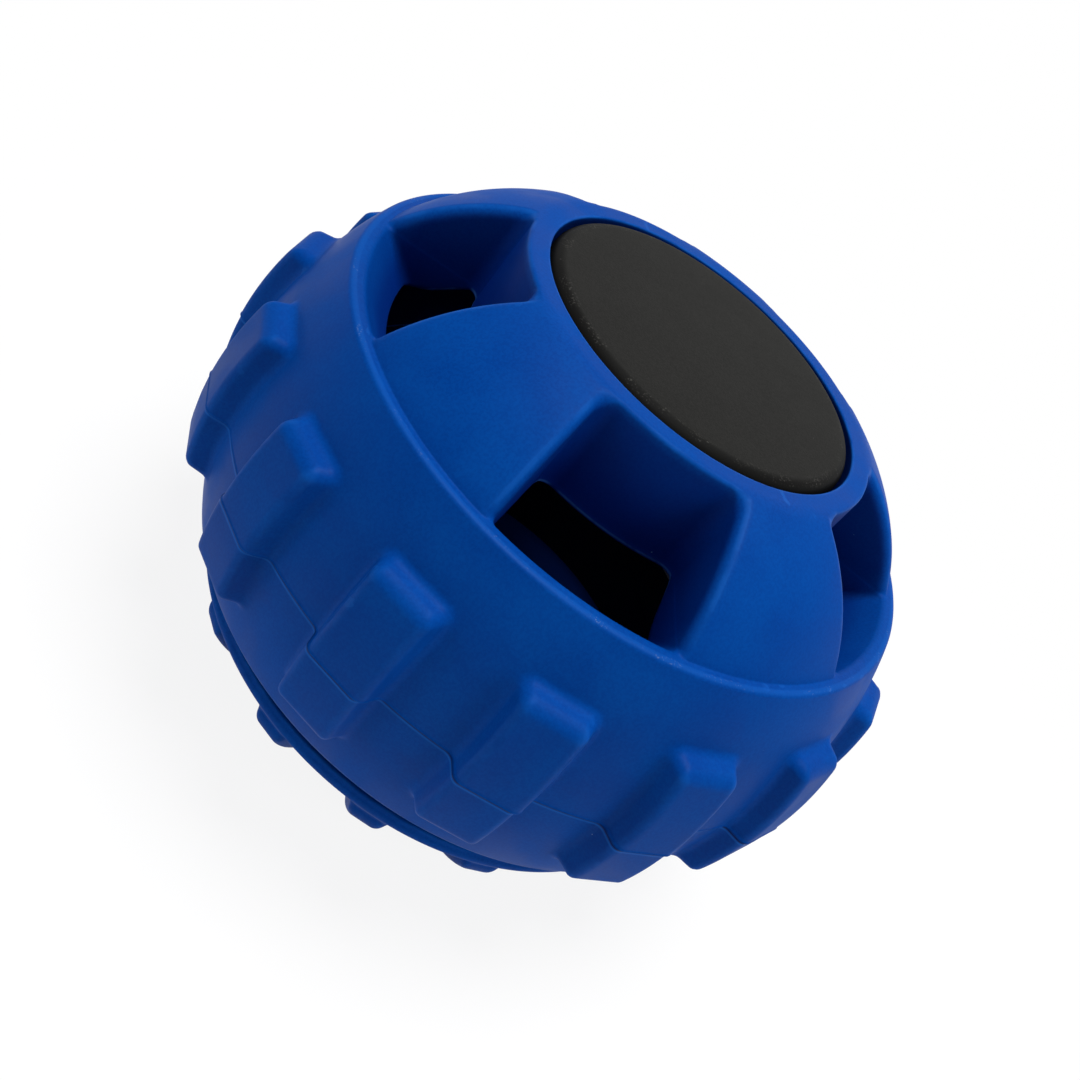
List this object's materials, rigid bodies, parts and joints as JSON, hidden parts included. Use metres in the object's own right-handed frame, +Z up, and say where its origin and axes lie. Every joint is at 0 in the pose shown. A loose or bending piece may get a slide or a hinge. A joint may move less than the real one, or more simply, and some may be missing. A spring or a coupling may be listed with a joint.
{
  "type": "treat dispensing dog ball",
  "caption": "Hollow rubber dog ball with a lugged tread, spoked treat windows round a black hub disc and a twist-off rear cap for filling.",
  "frame": {"origin": "middle of the rear hub face, on the plane that the ball rests on", "axes": "+Z up along the ball's axis, from the rear cap to the front hub disc; -Y to the front; the first treat window lies near -Y"},
  "size_m": [0.1187, 0.119, 0.0812],
  "materials": {
    "blue_rubber": "satin moulded rubber with fine dust and a thin parting line",
    "lock_plastic": "matte dark blue moulded plastic",
    "black_disc": "fine-grained matte black",
    "clip_plastic": "plain grey moulded plastic"
  },
  "bodies": {
    "front_half": {"front_shell": "blue_rubber", "front_lock_ring": "lock_plastic", "front_hub_disc": "black_disc", "front_disc_clip": "clip_plastic"},
    "rear_half": {"rear_cap": "blue_rubber", "rear_lock_ring": "lock_plastic", "rear_hub_disc": "black_disc", "rear_disc_clip": "clip_plastic"}
  },
  "joints": [
    {"name": "cap_twist", "type": "hinge", "parent": "front_half", "child": "rear_half", "pos_m": [0, 0, 0.0406], "axis": [0, 0, -1], "range_deg": [0, 69]}
  ]
}
